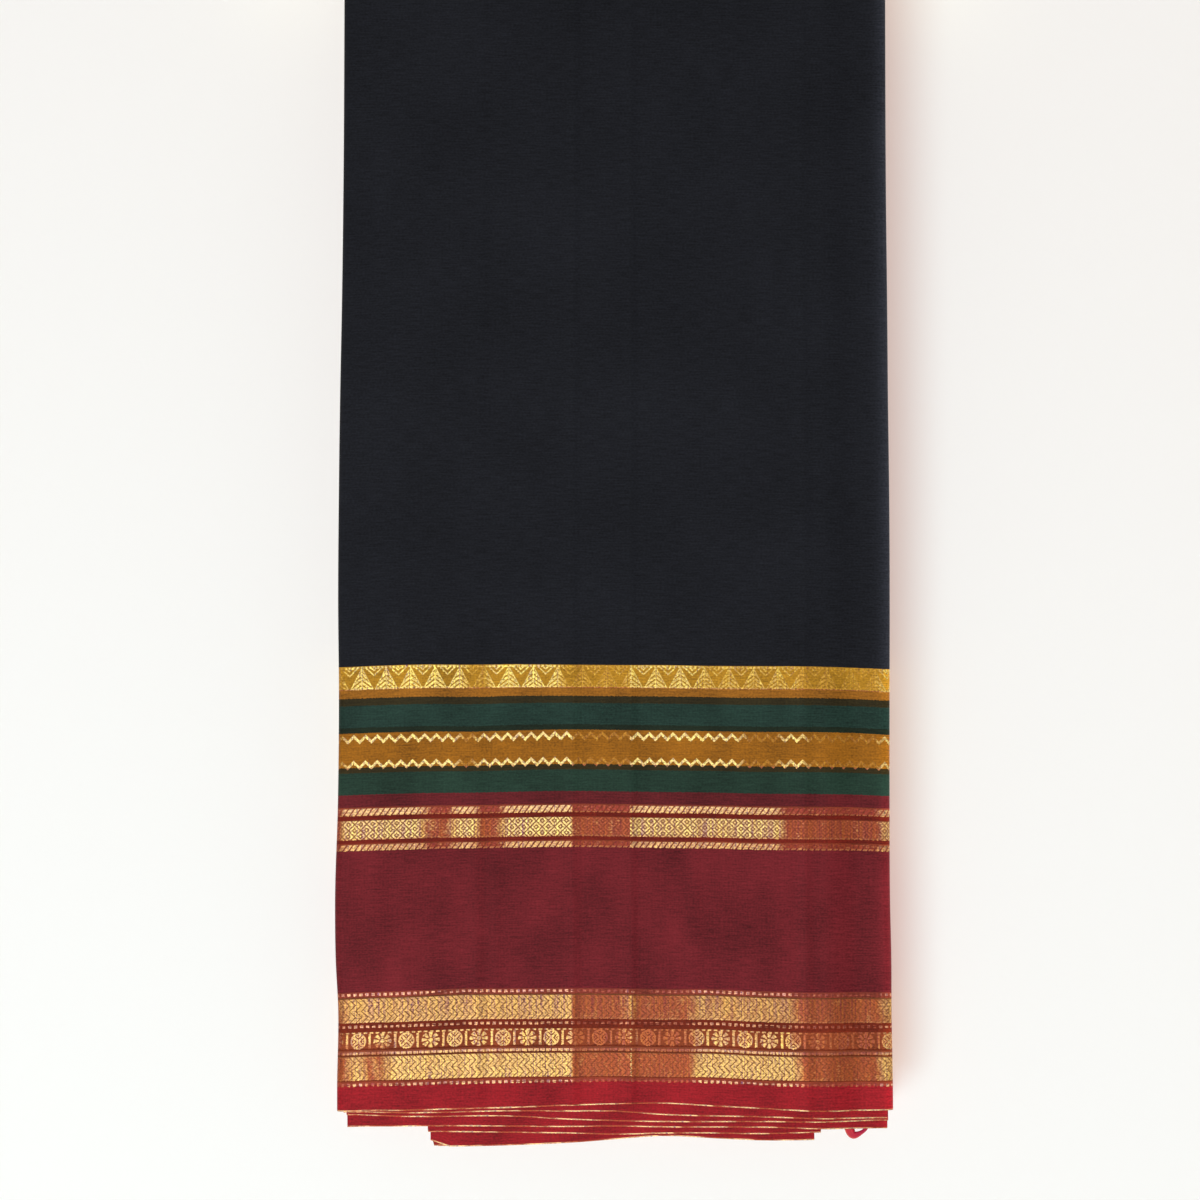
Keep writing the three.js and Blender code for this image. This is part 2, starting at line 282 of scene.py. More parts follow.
def unit(vectors):
    """The same directions with a length of 1."""
    return vectors / np.linalg.norm(vectors, axis=-1, keepdims=True)


def path_length(points):
    """Length along a line of points, from its start to each point."""
    return np.concatenate([[0], np.cumsum(np.linalg.norm(np.diff(points, axis=0), axis=1))])


def slow_noise(across, along, seed):
    """An uneven value from −1 to 1: the mean of four crossed sine waves with phases set by a seed."""
    phases = np.random.default_rng(seed).uniform(0, 2 * math.pi, 8)
    waves = [(31, 9, 1.0), (-17, 23, 1.0), (58, -14, 0.6), (11, 41, 0.6)]
    total = 0
    for (rate_across, rate_along, height), phase in zip(waves, phases):
        total = total + np.sin(rate_across * across + rate_along * along + phase) * height
    return total / sum(wave[2] for wave in waves)


def resting_depth(leaf):
    """How far a leaf's inner and outer face lie out from the rod, counted up from the inmost leaf."""
    inside = LEAF_GAP + (LEAF_COUNT - leaf) * (LEAF_THICKNESS + LEAF_GAP)
    return inside, inside + LEAF_THICKNESS


def side_sink(leaf, across):
    """The wide leaves lie nearer the rod beyond the narrow ones: a smooth step down at both sides."""
    if leaf in NARROW_LEAF_ENDS:
        return np.zeros_like(across)
    return SIDE_SINK * smoothstep(np.abs(across), SINK_STARTS, SINK_ENDS)


def front_drop(leaf, across):
    """Drop of a leaf's front selvedge below the rod, read from its table."""
    return MM * read_table(across / MM, SELVEDGE_PLACES, SELVEDGE_DROPS[leaf])


def line_sag(leaf, across, height):
    """How much lower than at the middle a woven line lies.

    Each tabled line gives a curve across the stack, and a line between two of them shares both
    curves by its height. The sag has faded to nothing at the rod.
    """
    middle = front_drop(leaf, 0.0)
    heights = MM * np.array(LINE_HEIGHTS + [middle / MM])
    if leaf == 1:
        curves = [MM * read_table(across / MM, LINE_PLACES, row) for row in LINE_DROPS]
    else:
        curves = [fade * (front_drop(leaf, across) - middle) for fade in INNER_LINE_FADE]
    sag = np.zeros_like(height)
    for row, curve in enumerate(curves):
        weight = np.zeros(len(heights))
        weight[row] = 1
        sag = sag + curve * np.interp(height, heights, weight)
    return sag


def fold_rise(across, height, strength):
    """Rise of the old fold lines: a bell for each line, uneven in height and place along the cloth."""
    rise = np.zeros(np.broadcast(across, height).shape)
    for number, line in enumerate(FOLD_LINES):
        place = MM * (line["x"] + line["wander"] * slow_noise(0.4 * number, height * 0.5, 40 + number))
        bell = np.exp(-(((across - place) / (MM * line["width"])) ** 2))
        uneven = 0.82 + 0.18 * slow_noise(number, height, 60 + number)
        rise = np.maximum(rise, strength * MM * line["rise"] * uneven * bell)
    return rise


def hang(leaf, across, depth, cloth):
    """Points of a leaf's cloth, for places across by depth out from the rod and by cloth height.

    The cloth runs up from the front selvedge, half round the rod and down to the back selvedge. Its
    radius from the rod's axis is the rod's radius, the depth, the stack's sway and parting, and on
    the outer leaf the fold lines.
    """
    settings = bpy.context.scene.saree_cloth
    inside, outside = resting_depth(leaf)
    middle_radius = ROD_RADIUS + (inside + outside) / 2
    middle_drop = front_drop(leaf, 0.0)
    over_rod = math.pi * middle_radius
    drop_in_front = front_drop(leaf, across)
    drop_behind = settings.width - over_rod - drop_in_front
    middle_behind = settings.width - over_rod - middle_drop

    behind = cloth > middle_drop + over_rod
    hanging = behind | (cloth < middle_drop)
    from_back = settings.width - cloth
    turn = np.clip((cloth - middle_drop) / middle_radius, 0, math.pi)
    in_front = middle_drop - cloth + line_sag(leaf, across, cloth)
    fade = np.interp(from_back, [0, BORDER_HEIGHT, middle_behind], [1, BACK_FADE, 0])
    at_back = middle_behind - from_back + (drop_behind - middle_behind) * fade
    drop = np.where(behind, at_back, in_front) * hanging
    drop = np.maximum(drop, 0)

    half = np.where(turn < math.pi / 2, -1, 1)
    share = drop / np.where(half < 0, drop_in_front, drop_behind)
    wave = np.sin(2 * math.pi * across / SWAY_LENGTH + half * SWAY_PHASE)
    shift = SWAY * wave * smoothstep(share, 0, 1) + LEAF_SPREAD * (LEAF_COUNT - leaf) * share ** 3
    flat_part = 1 - smoothstep(np.abs(across), FLAT_ENDS, SIDE_STARTS)
    ripple = 0.5 + 0.5 * slow_noise(across, cloth, 10 + leaf)
    shift = shift + settings.ripple * ripple * flat_part * smoothstep(share, 0, 0.2)
    if leaf == 1:
        shift = shift + fold_rise(across, cloth, settings.fold_height) * flat_part
    radius = ROD_RADIUS + depth + shift

    left = read_table(drop / MM, EDGE_DROPS, LEFT_EDGES)
    right = read_table(drop / MM, EDGE_DROPS, RIGHT_EDGES)
    fitted = across * np.where(across < 0, left, right) * MM / HALF_WIDTH
    return np.stack([fitted, -radius * np.cos(turn), radius * np.sin(turn) - drop], axis=-1)


def arc(centre, radius, start, end, steps):
    """Points of a circular arc in the section, from one angle to another."""
    angles = np.linspace(start, end, steps)
    return np.stack([centre[0] + radius * np.cos(angles), centre[1] + radius * np.sin(angles)], axis=1)


def panel_columns(left, right, spacing):
    """Places across a panel: even steps, with closer ones where the panel sinks at the sides."""
    even = np.linspace(left, right, max(2, int(round((right - left) / spacing)) + 1))
    sinking = np.linspace(SINK_STARTS, SINK_ENDS, 5)
    extra = np.concatenate([-sinking, sinking])
    near = np.abs(extra[:, None] - even[None, :]).min(axis=1) < 0.4 * spacing
    inside = (extra > left) & (extra < right) & ~near
    return np.sort(np.concatenate([even, extra[inside]]))


def flat_run(left, right, depth):
    """One layer of an inner leaf: a straight line across at its depth."""
    columns = panel_columns(left, right, LAYER_SPACING)
    return np.stack([columns, np.full_like(columns, depth)], axis=1)


def turned_run(layer_inset, left_spare, right_spare, spacing):
    """One layer of the outer leaf: straight across, round both corners and back along the sides."""
    face = resting_depth(1)[1]
    sunk_face = face - SIDE_SINK
    radius = CORNER_RADIUS - layer_inset
    corner = HALF_WIDTH - CORNER_RADIUS
    centre_depth = sunk_face - CORNER_RADIUS
    free_depth = sunk_face - SIDE_DEPTH
    columns = panel_columns(-corner, corner, spacing)[1:-1]
    panel = np.stack([columns, np.full_like(columns, face - layer_inset)], axis=1)
    # The corners are stored as if the panel had not sunk, because the sink is taken off later.
    lift = np.array([0, SIDE_SINK])
    left = arc((-corner, centre_depth), radius, math.pi, math.pi / 2, 7) + lift
    right = arc((corner, centre_depth), radius, math.pi / 2, 0, 7) + lift
    left_end = np.array([[-corner - radius, free_depth + left_spare]]) + lift
    right_end = np.array([[corner + radius, free_depth + right_spare]]) + lift
    return np.concatenate([left_end, left, panel, right, right_end])


def join_runs(runs):
    """Joins layers into one folded line: every second one is reversed, with a hairpin between two.

    A hairpin is a half circle on the line between the two ends, bulging the way the cloth was going.
    """
    line = [runs[0]]
    for number, run in enumerate(runs[1:], start=1):
        run = run[::-1] if number % 2 else run
        start, end = line[-1][-1], run[0]
        heading = unit(start - line[-1][-2])
        middle = (start + end) / 2
        arm = (start - end) / 2
        reach = np.linalg.norm(arm)
        angles = np.linspace(0, math.pi, 7)[1:-1]
        line.append(middle + np.outer(np.cos(angles), arm) + np.outer(np.sin(angles), heading * reach))
        line.append(run)
    return np.concatenate(line)


def line_normals(line):
    """Unit normals of an open line, to the left of its direction of travel."""
    tangent = unit(np.gradient(line, axis=0))
    return np.stack([-tangent[:, 1], tangent[:, 0]], axis=1)


def cloth_stations(start, end, spacing):
    """Cloth heights of a strip's rows: even steps, and fine ones in the last centimetres of a selvedge."""
    width = bpy.context.scene.saree_cloth.width
    rows = np.linspace(start, end, int(round((end - start) / spacing)) + 1)
    both = np.concatenate([SELVEDGE_ROWS, width - SELVEDGE_ROWS])
    both = both[(both > start) & (both < end)]
    rows = np.concatenate([rows, both[np.abs(both[:, None] - rows[None, :]).min(axis=1) > 0.2 * MM]])
    return np.sort(rows)


def add_mesh(name, points, quads, corner_uv, weave, material):
    """Puts arrays of points, four-sided faces, a map and the weave coordinates into a new piece."""
    mesh = bpy.data.meshes.new(name)
    mesh.vertices.add(len(points))
    mesh.vertices.foreach_set("co", points.astype(np.float32).ravel())
    mesh.loops.add(quads.size)
    mesh.loops.foreach_set("vertex_index", quads.astype(np.int32).ravel())
    mesh.polygons.add(len(quads))
    mesh.polygons.foreach_set("loop_start", np.arange(0, quads.size, 4, dtype=np.int32))
    mesh.update(calc_edges=True)
    mesh.uv_layers.new(name="UVMap").uv.foreach_set("vector", corner_uv.astype(np.float32).ravel())
    stored = mesh.attributes.new("weave", "FLOAT_VECTOR", "POINT")
    stored.data.foreach_set("vector", weave.astype(np.float32).ravel())
    if mesh.validate():
        raise RuntimeError(f"{name} has faces that are not valid")
    mesh.shade_smooth()
    mesh.set_sharp_from_angle(angle=math.radians(50))
    mesh.materials.append(material)
    piece = bpy.data.objects.new(name, mesh)
    bpy.context.collection.objects.link(piece)
    return piece


def shell_faces(stations, ring):
    """Faces of a closed shell through rings of points, and the kind of each face.

    Half of a ring is the outer side and half the inner one, run back. Kinds: 0 outer side, 1 inner
    side, 2 and 3 the two long edges, 4 and 5 the end caps.
    """
    half = ring // 2
    row, column = np.meshgrid(np.arange(stations - 1), np.arange(ring), indexing="ij")
    following = (column + 1) % ring
    sides = np.stack([row * ring + column, row * ring + following,
                      (row + 1) * ring + following, (row + 1) * ring + column], axis=-1)
    kind = np.where(column < half - 1, 0, 1)
    kind = np.where(column == half - 1, 2, kind)
    kind = np.where(column == ring - 1, 3, kind)
    near = np.arange(half - 1)
    opposite = ring - 1 - near
    first = np.stack([near, opposite, opposite - 1, near + 1], axis=1)
    last = np.stack([near, near + 1, opposite - 1, opposite], axis=1) + (stations - 1) * ring
    quads = np.concatenate([sides.reshape(-1, 4), first, last])
    kinds = np.concatenate([kind.ravel(), np.full(half - 1, 4), np.full(half - 1, 5)])
    return quads, kinds


def shell_map(quads, kinds, ring, along, around):
    """Places of the faces' corners on the piece's map, each kind of face in a field of its own.

    The outer side has most of the height, the inner side a low field above it, and the long edges
    and the end caps thin strips at the right and at the top.
    """
    half = ring // 2
    row = quads // ring
    column = quads % ring
    mirrored = np.where(column < half, column, ring - 1 - column)
    across = 0.01 + 0.94 * around[mirrored]
    up = along[row]
    kind = kinds[:, None]
    x = np.where(kind == 2, np.where(column < half, 0.962, 0.968), across)
    x = np.where(kind == 3, np.where(column < half, 0.980, 0.986), x)
    y = 0.01 + 0.75 * up
    y = np.where(kind == 1, 0.77 + 0.17 * up, y)
    y = np.where(kind == 4, np.where(column < half, 0.955, 0.961), y)
    y = np.where(kind == 5, np.where(column < half, 0.975, 0.981), y)
    return np.stack([x, y], axis=-1)


def signed_volume(points, quads):
    """Volume inside closed four-sided faces, negative if they point inwards."""
    a, b, c, d = (points[quads[:, corner]] for corner in range(4))
    first = np.einsum("ij,ij->i", a, np.cross(b, c))
    return float((first + np.einsum("ij,ij->i", a, np.cross(c, d))).sum() / 6)


def add_shell(name, points, weave, along, around, material):
    """A closed shell through rings of points, with its faces outwards, its map and its weave places."""
    stations, ring = points.shape[:2]
    quads, kinds = shell_faces(stations, ring)
    corner_uv = shell_map(quads, kinds, ring, along, around)
    flat = points.reshape(-1, 3)
    if signed_volume(flat, quads) < 0:
        quads = quads[:, ::-1]
        corner_uv = corner_uv[:, ::-1]
    return add_mesh(name, flat, quads, corner_uv, weave.reshape(-1, 3), material)


def selvedge_share(cloth, start, end):
    """Share of the map's height for each row.

    On a strip with both selvedges, the 25 mm beside each get nine times their own share.
    """
    width = bpy.context.scene.saree_cloth.width
    fine = np.linspace(start, end, 600)
    beside = np.minimum(fine, width - fine) < 25 * MM
    density = 1 + 8 * beside * (end - start > 0.5)
    total = np.concatenate([[0], np.cumsum((density[1:] + density[:-1]) / 2)])
    return np.interp(cloth, fine, total / total[-1])


def add_strip(name, leaf, line, start, end, spacing, shortfall, slack, material):
    """A strip of cloth: a folded line across the leaf, carried from one cloth height to another.

    The line is offset by half the cloth's thickness to both sides and closed into a ring, and each
    ring follows the leaf's path. Layers inside the fold hang a little short of the outer one.
    """
    settings = bpy.context.scene.saree_cloth
    normals = line_normals(line)
    outer = line + normals * settings.thickness / 2
    inner = line - normals * settings.thickness / 2
    section = np.concatenate([outer, inner[::-1]])
    length = path_length(line)
    place = np.concatenate([line[:, 0], line[::-1, 0]])
    along_saree = np.concatenate([length, length[::-1]]) + slack
    short = np.concatenate([shortfall, shortfall[::-1]])
    rows = cloth_stations(start, end, spacing)
    across = section[:, 0]
    depth = section[:, 1] - side_sink(leaf, across)
    cloth = rows[:, None] + short[None, :]
    points = hang(leaf, across[None, :], depth[None, :], cloth)
    weave = np.stack(np.broadcast_arrays(along_saree[None, :], rows[:, None], place[None, :]), axis=-1)
    share = selvedge_share(rows, start, end)
    return add_shell(name, points, weave, share, length / length[-1], material), length[-1]


def layer_depths(leaf):
    """Depth of each layer's middle, from the outside in, spread evenly over the leaf's thickness."""
    thickness = bpy.context.scene.saree_cloth.thickness
    pitch = (LEAF_THICKNESS - thickness) / (LAYERS - 1)
    outside = resting_depth(leaf)[1]
    return [outside - thickness / 2 - pitch * layer for layer in range(LAYERS)]


def layer_shortfall(line, count, seed):
    """How short each point's layer hangs, uneven along each layer.

    A layer has a length of its own between a little long and nearly a millimetre short, and wavers
    slowly across the leaf. The outer one hangs true.
    """
    chosen = np.random.default_rng(seed).uniform(LONGEST_LAYER, SHORTEST_LAYER, count)
    share = np.linspace(0, count, len(line))
    layer = np.clip(share - 0.5, 0, count - 1)
    waver = LAYER_WAVER * slow_noise(line[:, 0], 0.4 * np.floor(share), seed)
    return MM * (np.interp(layer, np.arange(count), chosen) + waver) * smoothstep(share, 0.9, 1.1)


class Field:
    """A number that varies over a surface: a node socket that can be added, multiplied and compared."""

    def __init__(self, tree, socket):
        self.tree = tree
        self.socket = socket

    def apply(self, operation, *others):
        """A Math node on this number and others."""
        node = self.tree.nodes.new("ShaderNodeMath")
        node.operation = operation
        for number, value in enumerate((self, *others)):
            if isinstance(value, Field):
                self.tree.links.new(value.socket, node.inputs[number])
            else:
                node.inputs[number].default_value = value
        return Field(self.tree, node.outputs[0])

    def __add__(self, other):
        return self.apply("ADD", other)

    def __sub__(self, other):
        return self.apply("SUBTRACT", other)

    def __mul__(self, other):
        return self.apply("MULTIPLY", other)

    def feed(self, socket):
        """Links this number into a socket of a shader."""
        self.tree.links.new(self.socket, socket)

    def inverse(self):
        """One less this number."""
        return self * -1.0 + 1.0

    def absolute(self):
        """The size of this number without its sign."""
        return self.apply("ABSOLUTE")

    def offset(self, pitch):
        """Signed distance to the nearest multiple of a pitch."""
        return self.apply("WRAP", pitch / 2, -pitch / 2)

    def bounce(self, reach):
        """A triangle wave that rises from 0 to reach and falls back."""
        return self.apply("PINGPONG", reach)

    def above(self, edge, softness=0.16):
        """1 above an edge and 0 below it, with a short ramp between."""
        result = (self - edge) * (1 / softness) + 0.5
        result.socket.node.use_clamp = True
        return result

    def below(self, edge, softness=0.16):
        """1 below an edge and 0 above it."""
        return self.above(edge, softness).inverse()

    def between(self, low, high, softness=0.16):
        """1 between two edges and 0 outside them."""
        return self.above(low, softness) * self.below(high, softness)

    def near(self, centre, reach, softness=0.16):
        """1 within some reach of a centre and 0 outside it."""
        return (self - centre).absolute().below(reach, softness)

    def repeat(self, pitch, reach, softness=0.16):
        """1 within some reach of every multiple of a pitch and 0 outside it."""
        return self.offset(pitch).absolute().below(reach, softness)

    def bounded(self):
        """This number, held between 0 and 1."""
        result = self + 0.0
        result.socket.node.use_clamp = True
        return result

    def larger(self, other):
        """The larger of two numbers."""
        return self.apply("MAXIMUM", other)

    def smaller(self, other):
        """The smaller of two numbers."""
        return self.apply("MINIMUM", other)

    def blend(self, other, share):
        """This number where share is 0, and the other where it is 1."""
        return self + (other - self) * share


def colour_ramp(field, stops, interpolation="CONSTANT"):
    """A ColorRamp node on a field, with a list of (position, linear colour)."""
    node = field.tree.nodes.new("ShaderNodeValToRGB")
    node.color_ramp.interpolation = interpolation
    elements = node.color_ramp.elements
    elements.remove(elements[1])
    elements[0].position = stops[0][0]
    elements[0].color = (*stops[0][1], 1)
    for position, colour in stops[1:]:
        elements.new(position).color = (*colour, 1)
    field.feed(node.inputs["Fac"])
    return node.outputs["Color"]


def mix_colours(tree, first, second, share, blend_type="MIX"):
    """A colour Mix node. Each colour is a socket or a linear colour, and share a field or a number."""
    node = tree.nodes.new("ShaderNodeMix")
    node.data_type = "RGBA"
    node.blend_type = blend_type
    for name, value in (("A_Color", first), ("B_Color", second)):
        socket = next(item for item in node.inputs if item.identifier == name)
        if isinstance(value, bpy.types.NodeSocket):
            tree.links.new(value, socket)
        else:
            socket.default_value = (*value, 1)
    factor = next(item for item in node.inputs if item.identifier == "Factor_Float")
    if isinstance(share, Field):
        share.feed(factor)
    else:
        factor.default_value = share
    return next(item for item in node.outputs if item.identifier == "Result_Color")


def vector(*parts):
    """A vector socket joined from two or three fields."""
    node = parts[0].tree.nodes.new("ShaderNodeCombineXYZ")
    for part, socket in zip(parts, node.inputs):
        part.feed(socket)
    return node.outputs[0]


def shaded(colour, level):
    """A colour multiplied by one level or by a level for each of its three channels."""
    levels = (level,) * 3 if isinstance(level, Field) else level
    return mix_colours(levels[0].tree, colour, vector(*levels), 1.0, "MULTIPLY")


def noise(*place, detail=0.0):
    """A noise field on two or three coordinates, from about −0.5 to 0.5."""
    tree = place[0].tree
    node = tree.nodes.new("ShaderNodeTexNoise")
    node.noise_dimensions = f"{len(place)}D"
    node.inputs["Scale"].default_value = 1.0
    node.inputs["Detail"].default_value = detail
    tree.links.new(vector(*place), node.inputs["Vector"])
    return Field(tree, node.outputs["Fac"]) - 0.5


def new_material(name):
    """An empty node material with its Principled shader."""
    material = bpy.data.materials.new(name)
    material.use_nodes = True
    tree = material.node_tree
    return material, tree, tree.nodes["Principled BSDF"]


def in_millimetres(tree, place):
    """The three parts of a place in metres, as fields in millimetres."""
    parts = tree.nodes.new("ShaderNodeSeparateXYZ")
    tree.links.new(place, parts.inputs[0])
    return [Field(tree, part) * (1 / MM) for part in parts.outputs]


def weave_place(tree):
    """Place along the saree, height above the front selvedge and place across the stack.

    They come from the weave attribute.
    """
    stored = tree.nodes.new("ShaderNodeAttribute")
    stored.attribute_name = "weave"
    return in_millimetres(tree, stored.outputs["Vector"])


def add_relief(shader, height, strength, distance):
    """Fine relief from a field, with its height in millimetres."""
    tree = height.tree
    bump = tree.nodes.new("ShaderNodeBump")
    bump.inputs["Strength"].default_value = strength
    bump.inputs["Distance"].default_value = distance * MM
    height.feed(bump.inputs["Height"])
    tree.links.new(bump.outputs["Normal"], shader.inputs["Normal"])


# The metallic thread's colour with a painted glint and with painted shade, on bands that show little of
# it.
GLINT_GILT = (222, 172, 112)
SHADED_COPPER = (172, 98, 62)

# The woven bands from the selvedge up: name, top in millimetres above the selvedge, ground, and the
# metallic thread's colour with a painted glint and with painted shade where it is turned from the light,
# as screen colours.
BANDS = [
    ("selvedge", 10.5, (151, 27, 35), (228, 186, 136), (166, 76, 48)),
    ("first dots", 12.3, (146, 60, 42), (234, 172, 140), (168, 70, 60)),
    ("first line", 13.5, (122, 46, 22), GLINT_GILT, SHADED_COPPER),
    ("lower chevrons", 24.5, (114, 62, 32), (222, 176, 108), (164, 80, 47)),
    ("second line", 25.4, (108, 38, 16), GLINT_GILT, SHADED_COPPER),
    ("lower bars", 26.8, (136, 66, 42), (222, 168, 126), (166, 88, 66)),
    ("third line", 28.3, (114, 42, 18), GLINT_GILT, SHADED_COPPER),
    ("medallions", 35.3, (140, 64, 35), (228, 180, 116), (174, 90, 56)),
    ("upper bars", 36.8, (118, 40, 20), (190, 132, 96), (152, 80, 58)),
    ("second dots", 39.7, (116, 38, 20), (234, 170, 128), (162, 80, 60)),
    ("fourth line", 40.6, (116, 42, 18), GLINT_GILT, SHADED_COPPER),
    ("upper chevrons", 51.8, (114, 62, 33), (208, 158, 98), (160, 80, 49)),
    ("third dots", 54.6, (136, 56, 42), (236, 168, 138), (162, 78, 64)),
    ("wine field", 122.1, (108, 29, 35), GLINT_GILT, SHADED_COPPER),
    ("lower dashes", 124.9, (134, 58, 36), (220, 168, 116), (146, 60, 44)),
    ("fifth line", 127.3, (113, 31, 20), GLINT_GILT, SHADED_COPPER),
    ("lattice", 136.3, (116, 50, 28), (246, 206, 136), (166, 80, 52)),
    ("sixth line", 138.7, (110, 29, 18), GLINT_GILT, SHADED_COPPER),
    ("upper dashes", 142.0, (134, 58, 38), (232, 184, 130), (154, 64, 50)),
    ("maroon band", 148.2, (97, 29, 33), GLINT_GILT, SHADED_COPPER),
    ("lower green", 158.4, (34, 55, 44), GLINT_GILT, SHADED_COPPER),
    ("seventh line", 160.8, (52, 42, 20), GLINT_GILT, SHADED_COPPER),
    ("zigzags", 177.4, (153, 95, 22), (248, 216, 140), (172, 114, 42)),
    ("eighth line", 179.8, (30, 40, 28), GLINT_GILT, SHADED_COPPER),
    ("upper green", 190.7, (34, 56, 48), GLINT_GILT, SHADED_COPPER),
    ("ninth line", 193.6, (50, 42, 22), GLINT_GILT, SHADED_COPPER),
    ("mustard band", 198.3, (153, 96, 28), GLINT_GILT, SHADED_COPPER),
    ("triangles", 209.2, (178, 127, 34), (244, 212, 122), (194, 142, 52)),
]
RAMP_HEIGHT = 220.0

# The motifs repeat along the saree in whole numbers of this many millimetres, or nearly.
WEAVE_REPEAT = 2.85

# Where a glint is painted into the metallic thread's colour across the stack, in millimetres from the
# middle: each zone's left edge and its painted brightness. The zones meet at the old fold lines.
PAINTED_GLINTS = {
    "triangles": [(-140, 0.1), (-126, 0.9), (-71, 0.1), (-59, 0.9), (-26, 0.1), (7.6, 0.7), (40, 0.35),
                  (88, 0.0), (126.5, 0.8)],
    "zigzags": [(-140, 0.0), (-127, 0.9), (-74, 0.0), (-65.6, 0.9), (-20, 0.0), (7.6, 0.9), (60, 0.0),
                (79, 0.8), (90.7, 0.0), (126.5, 0.7)],
    "lattice": [(-140, 0.0), (-128, 0.85), (-90, 0.1), (-76, 0.85), (-65, 0.0), (-52.7, 0.9),
                (-20.4, -0.4), (7.6, 0.8), (79, 0.0), (126.5, 0.7)],
    "upper chevrons": [(-140, 0.1), (-128, 0.9), (-20.4, 0.0), (3, 0.4), (9.5, -0.2), (20, 0.1),
                       (37, 0.7), (85, -0.1), (126, 0.7)],
    "lower chevrons": [(-140, 0.0), (-125, 0.8), (-119, 0.25), (-107, 0.9), (-20, -0.2), (37.5, 0.9),
                       (86.5, -0.1), (125, 0.8)],
}
# From which height above the selvedge each table holds. The lower chevrons' holds below the others.
PAINTED_GLINT_HEIGHTS = [("upper chevrons", 30.5), ("lattice", 90), ("zigzags", 150), ("triangles", 185)]
# A zone's edge is sharp at these old folds and soft elsewhere, over this far to both sides.
CRISP_FOLDS = (-20.4, -20, 7.6)
CRISP_REACH = 0.4
SOFT_REACH = 3.2
# A painted highlight runs up the border beside one old fold, as a dotted bright line.
PAINTED_FOLD_HIGHLIGHT = 7.6

# Painted highlight: a paler sheen is painted into the colour along the right-hand fold edge, where light
# grazes it:
# how far that reaches inwards, in millimetres, and how much it lightens the body, the border's ground and
# its metallic thread.
EDGE_SHEEN_REACH = 2.5
EDGE_SHEEN_BODY = 4.6
EDGE_SHEEN_GROUND = 1.9
EDGE_SHEEN_THREAD = 0.4


def span(name):
    """Lower and upper edge of a woven band."""
    number = [band[0] for band in BANDS].index(name)
    return BANDS[number - 1][1], BANDS[number][1]


def dots(u, height, centre, patchy):
    """A row of woven dots, patchy along it: short bars within half their height of the centre line."""
    return u.repeat(WEAVE_REPEAT, 0.76) * height.near(centre, 0.62) * patchy


def chevrons(u, height, low, high, glint_contrast):
    """Metallic ground crossed by thin upright zigzag lines."""
    lean = (height * -1.0 + high).bounce(WEAVE_REPEAT)
    line = (u - lean).repeat(WEAVE_REPEAT, 0.34)
    return (line * glint_contrast).inverse() * height.between(low, high)


def medallions(u, height, centre):
    """Round lattices and eight-petalled flowers in turn, with an upright bar between two."""
    pitch = 8 * WEAVE_REPEAT
    across = (u + 7.2).offset(pitch).absolute()
    up = (height - centre).absolute()
    radius = (across * across + up * up).apply("SQRT")
    cross = (across - up).absolute() * (1 / 1.42)
    round_lattice = cross.apply("FRACT").below(0.5, 0.2).larger(radius.above(3.0)) * radius.below(3.75)
    beside = across * -1.0 + pitch / 2
    stretched = beside * 0.84
    flower_radius = (stretched * stretched + up * up).apply("SQRT")
    angle = (up.apply("ARCTAN2", stretched) * 8.0).apply("COSINE")
    petals = angle.above(-0.45, 0.5).larger(flower_radius.below(0.9)) * flower_radius.below(3.6)
    core = flower_radius.between(0.95, 1.3, 0.3).inverse()
    bar = across.near(5.3, 0.55) * up.below(3.3)
    return round_lattice.larger(petals * core).larger(bar)


def slanted_dashes(u, height, low, high):
    """Wide metallic dashes that lean to the right, with a thin gap between two."""
    lean = (height - (low + high) / 2) * 0.7
    return (u - lean).repeat(WEAVE_REPEAT, 1.05, 0.3) * height.between(low, high)


def lattice(u, height, low, high, glint_contrast):
    """Nested diamonds: a dot and a ring, of equal distance from the nearest diamond's middle."""
    size = 2 * WEAVE_REPEAT
    middle = (low + high) / 2
    rising = (u + height - middle + size / 2).bounce(size / 2)
    falling = (u - height + middle + size / 2).bounce(size / 2)
    gap = rising.larger(falling).offset(1.9).absolute().above(0.5, 0.25)
    return (gap * glint_contrast).inverse() * height.between(low, high)


def zigzag(u, height, centre):
    """One bold zigzag line along the band."""
    swing = (u + 123.6).bounce(2.8) * -1.0 + 1.4
    return (height - swing).near(centre, 0.82, 0.3)


def triangles(u, height, low, high):
    """Tall triangles filled with herringbone, nested hanging vees between them, and a dashed top."""
    pitch = 11.6
    from_apex = (u + 38.6).offset(pitch).absolute()
    depth = height * -1.0 + (high - 0.4)
    side = from_apex - depth * 0.54
    inside = side.below(0, 0.25)
    stitch = ((height + from_apex * 0.75) * (1 / 2.05)).apply("FRACT").below(0.6, 0.2)
    fill = stitch.larger(side.between(-0.55, 0.1)).larger(from_apex.below(0.25))
    between = from_apex * -1.0 + pitch / 2
    hanging = (height - (high - 4.3) - between * 0.95).repeat(2.3, 0.42, 0.3)
    vees = hanging * between.below(4.2) * (height - (high - 5.2) - between * 0.95).above(0)
    top = height.near(high - 0.5, 0.55) * u.repeat(1.9, 0.62)
    foot = height.near(low + 0.35, 0.4) * u.repeat(2.4, 0.8)
    drawn = (inside * fill).larger(vees * side.above(0.5)).larger(top).larger(foot)
    return drawn * height.between(low, high)


